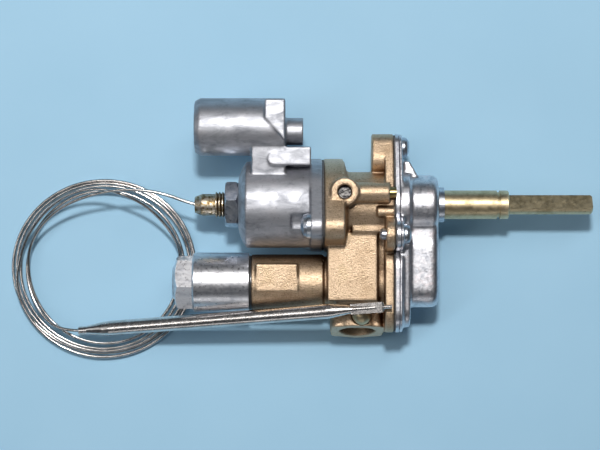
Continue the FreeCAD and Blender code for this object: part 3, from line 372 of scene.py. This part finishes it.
def paint(obj, material):
    obj.data.materials.clear()
    obj.data.materials.append(material)


SLOTS = {part["node"]: part["material_slot"] for part in frame["record"]["subparts"]}
NODES = frame["nodes"]
for node, obj in NODES.items():
    paint(obj, OWN_MATERIAL.get(node, MATERIALS[SLOTS[node]]))

# ---------------------------------------------------------------- capillary and phial

LEAD = (
    (-0.0576, 0.0046, 0.0170),
    (-0.0614, 0.0056, 0.0170),
    (-0.0666, 0.0076, 0.0174),
    (-0.0729, 0.0090, 0.0175),
    (-0.0800, 0.0094, 0.0174),
    (-0.0876, 0.0085, 0.0169),
    (-0.0950, 0.0064, 0.0154),
    (-0.1017, 0.0031, 0.0128),
    (-0.1069, -0.0014, 0.0098),
    (-0.1104, -0.0064, 0.0070),
    (-0.1122, -0.0116, 0.0048),
)
CREST = (
    (-0.0636, -0.0114, 0.0038),
    (-0.0649, -0.0068, 0.0060),
    (-0.0679, -0.0018, 0.0090),
    (-0.0724, 0.0031, 0.0122),
    (-0.0776, 0.0066, 0.0146),
    (-0.0836, 0.0088, 0.0154),
    (-0.0896, 0.0097, 0.0148),
    (-0.0958, 0.0088, 0.0132),
    (-0.1019, 0.0060, 0.0108),
    (-0.1074, 0.0014, 0.0080),
    (-0.1119, -0.0046, 0.0058),
    (-0.1147, -0.0110, 0.0038),
)
TAIL = (
    (-0.1114, -0.0234, 0.0042),
    (-0.1089, -0.0284, 0.0049),
    (-0.1058, -0.0322, 0.0058),
    (-0.1024, -0.0342, 0.0068),
    (-0.0989, -0.0350, 0.0076),
    (-0.0955, -0.0351, 0.0082),
)
CORD_D = 1.0 * MM
COIL_MIDDLE = (-88.1 * MM, -15.6 * MM)
# Half width, half depth, shift in x and y, and height of the turns, in millimetres
FIRST_BEND = ((24.2, 23.8, 0.0, 0.0, 4.0), (24.6, 25.0, 0.2, 0.0, 3.6))
TURNS = (
    (29.6, 29.2, 0.3, 0.0, 2.8),
    (29.7, 28.2, -0.4, 0.4, 0.55),
    (28.6, 27.4, -0.1, 0.2, 1.7),
    (27.3, 26.6, 0.0, 0.1, 2.7),
    (24.9, 24.9, 0.0, 0.0, 3.7),
)
STEP = 24  # degrees between a turn's points
FIRST_ARC = (192, 348)  # degrees, from the lead round to the crest
COIL_ARC = (192, 1620)  # almost four turns, from the crest to the tail
CURVE_STEPS = 6
RING_STEPS = 4


def turn_points(stations, start, end):
    """Points on an oval spiral whose size passes through the stations, one per turn."""
    count = round((end - start) / STEP)
    points = []
    for i in range(count + 1):
        angle = math.radians(start + (end - start) * i / count)
        u = i / count * (len(stations) - 1)
        k = min(int(u), len(stations) - 2)
        rx, ry, dx, dy, z = (a + (b - a) * (u - k) for a, b in zip(stations[k], stations[k + 1]))
        points.append((COIL_MIDDLE[0] + (dx + rx * math.cos(angle)) * MM,
                       COIL_MIDDLE[1] + (dy + ry * math.sin(angle)) * MM, z * MM))
    return points


def make_capillary():
    """One smooth tube through the whole route, from the gland to the phial."""
    route = [*LEAD, *turn_points(FIRST_BEND, *FIRST_ARC), *CREST, *turn_points(TURNS, *COIL_ARC), *TAIL]
    curve = bpy.data.curves.new("capillary", "CURVE")
    curve.dimensions = "3D"
    spline = curve.splines.new("NURBS")
    spline.points.add(len(route) - 1)
    for point, spot in zip(spline.points, route):
        point.co = (*spot, 1)
    spline.order_u = 3
    spline.use_endpoint_u = True
    spline.resolution_u = CURVE_STEPS
    curve.resolution_u = CURVE_STEPS
    curve.bevel_depth = CORD_D / 2
    curve.bevel_resolution = RING_STEPS
    curve.use_fill_caps = True
    obj = bpy.data.objects.new("capillary", curve)
    bpy.context.collection.objects.link(obj)
    curve.materials.append(CAPILLARY)
    return obj


capillary = make_capillary()
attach(capillary, "root")
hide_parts("capillary_lead", "capillary_crest", "capillary_coil", "capillary_tail")

# ---------------------------------------------------------------- castings


def cast_copy(node, voxel, rounds):
    """A copy of a cast node with the small fillets that a casting has on all its edges."""
    source = NODES[node]
    obj = source.copy()
    obj.data = source.data.copy()
    for key in list(obj.keys()):
        if key.startswith("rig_"):
            del obj[key]
    obj.name = "cast_" + node
    bpy.context.collection.objects.link(obj)
    remesh = obj.modifiers.new("remesh", "REMESH")
    remesh.mode = "VOXEL"
    remesh.voxel_size = voxel
    remesh.use_smooth_shade = True
    smooth = obj.modifiers.new("smooth", "SMOOTH")
    smooth.factor = 0.5
    smooth.iterations = rounds
    bpy.context.view_layer.update()
    evaluated = obj.evaluated_get(bpy.context.evaluated_depsgraph_get())
    mesh = bpy.data.meshes.new_from_object(evaluated)
    obj.modifiers.clear()
    obj.data = mesh
    mesh.polygons.foreach_set("use_smooth", [True] * len(mesh.polygons))
    paint(obj, MATERIALS[SLOTS[node]])
    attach(obj, "root")
    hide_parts(node)
    return obj


# More rounds of smoothing make rounder edges: the cover is drawn sheet, with the softest ones
cast_copy("valve_body", voxel=0.32 * MM, rounds=9)
cast_copy("thermostat_housing", voxel=0.32 * MM, rounds=7)
cast_copy("front_cover", voxel=0.30 * MM, rounds=26)

# ---------------------------------------------------------------- machined edges

EDGE = 0.16 * MM
SHARP = math.radians(38)  # only edges that turn more than this are chamfered
CHAMFERED = (
    "spindle", "magnet_unit_nut", "gland_lock_nut", "housing_screws", "cover_screws", "spindle_bush",
    "backing_plate", "capillary_gland", "gallery_plug", "bypass_screw",
)


def soften(node):
    """Small chamfers on a machined node's sharp edges."""
    bevel = NODES[node].modifiers.new("edges", "BEVEL")
    bevel.width = EDGE
    bevel.segments = 2
    bevel.limit_method = "ANGLE"
    bevel.angle_limit = SHARP
    bevel.use_clamp_overlap = True
    bevel.harden_normals = False


for node in CHAMFERED:
    soften(node)

# ---------------------------------------------------------------- surroundings


FLOOR_SIZE = 3.0
AIM = (-0.02, 0.0, 0.0)  # the lamps point at the valve's middle
AIM_LOW = (-0.02, 0.0, 0.01)
WARM = (1.0, 0.98, 0.95)
SOFT_WARM = (1.0, 0.98, 0.96)
ROOM_COLOUR = (0.62, 0.68, 0.76, 1)
ROOM_LIGHT = 0.08


def floor():
    bpy.ops.mesh.primitive_plane_add(size=FLOOR_SIZE)
    obj = bpy.context.active_object
    obj.name = "floor"
    s = Shader("floor")
    dark, light = FLOOR_BLUE
    tint = s.ramp(s.noise(40 * MM, detail=3.0), ((0.3, dark), (0.7, light)))
    s.bump(s.noise(0.6 * MM, detail=3.0), depth=0.02 * MM, strength=0.4)
    paint(obj, s.finish(tint, rough=0.7, metal=0.0))


def lamp(name, at, look, size, power, colour=(1, 1, 1)):
    data = bpy.data.lights.new(name, "AREA")
    data.shape = "RECTANGLE"
    data.size, data.size_y = size
    data.energy = power
    data.color = colour
    obj = bpy.data.objects.new(name, data)
    obj.location = at
    obj.rotation_euler = (Vector(look) - Vector(at)).to_track_quat("-Z", "Y").to_euler()
    bpy.context.collection.objects.link(obj)


floor()
lamp("key", at=(-0.03, 0.215, 0.70), look=AIM, size=(0.06, 0.05), power=2.9, colour=WARM)
lamp("overhead", at=(-0.15, 0.19, 0.72), look=AIM, size=(1.3, 0.09), power=1.9, colour=SOFT_WARM)
lamp("low_front", at=(-0.05, -0.75, 0.32), look=AIM_LOW, size=(0.7, 0.18), power=0.45)
lamp("side", at=(-0.75, 0.1, 0.45), look=AIM_LOW, size=(0.3, 0.4), power=0.3)
world = bpy.data.worlds.new("room")
bpy.context.scene.world = world
world.use_nodes = True
background = world.node_tree.nodes["Background"]
background.inputs["Color"].default_value = ROOM_COLOUR
background.inputs["Strength"].default_value = ROOM_LIGHT
bpy.context.scene.view_settings.view_transform = "Standard"
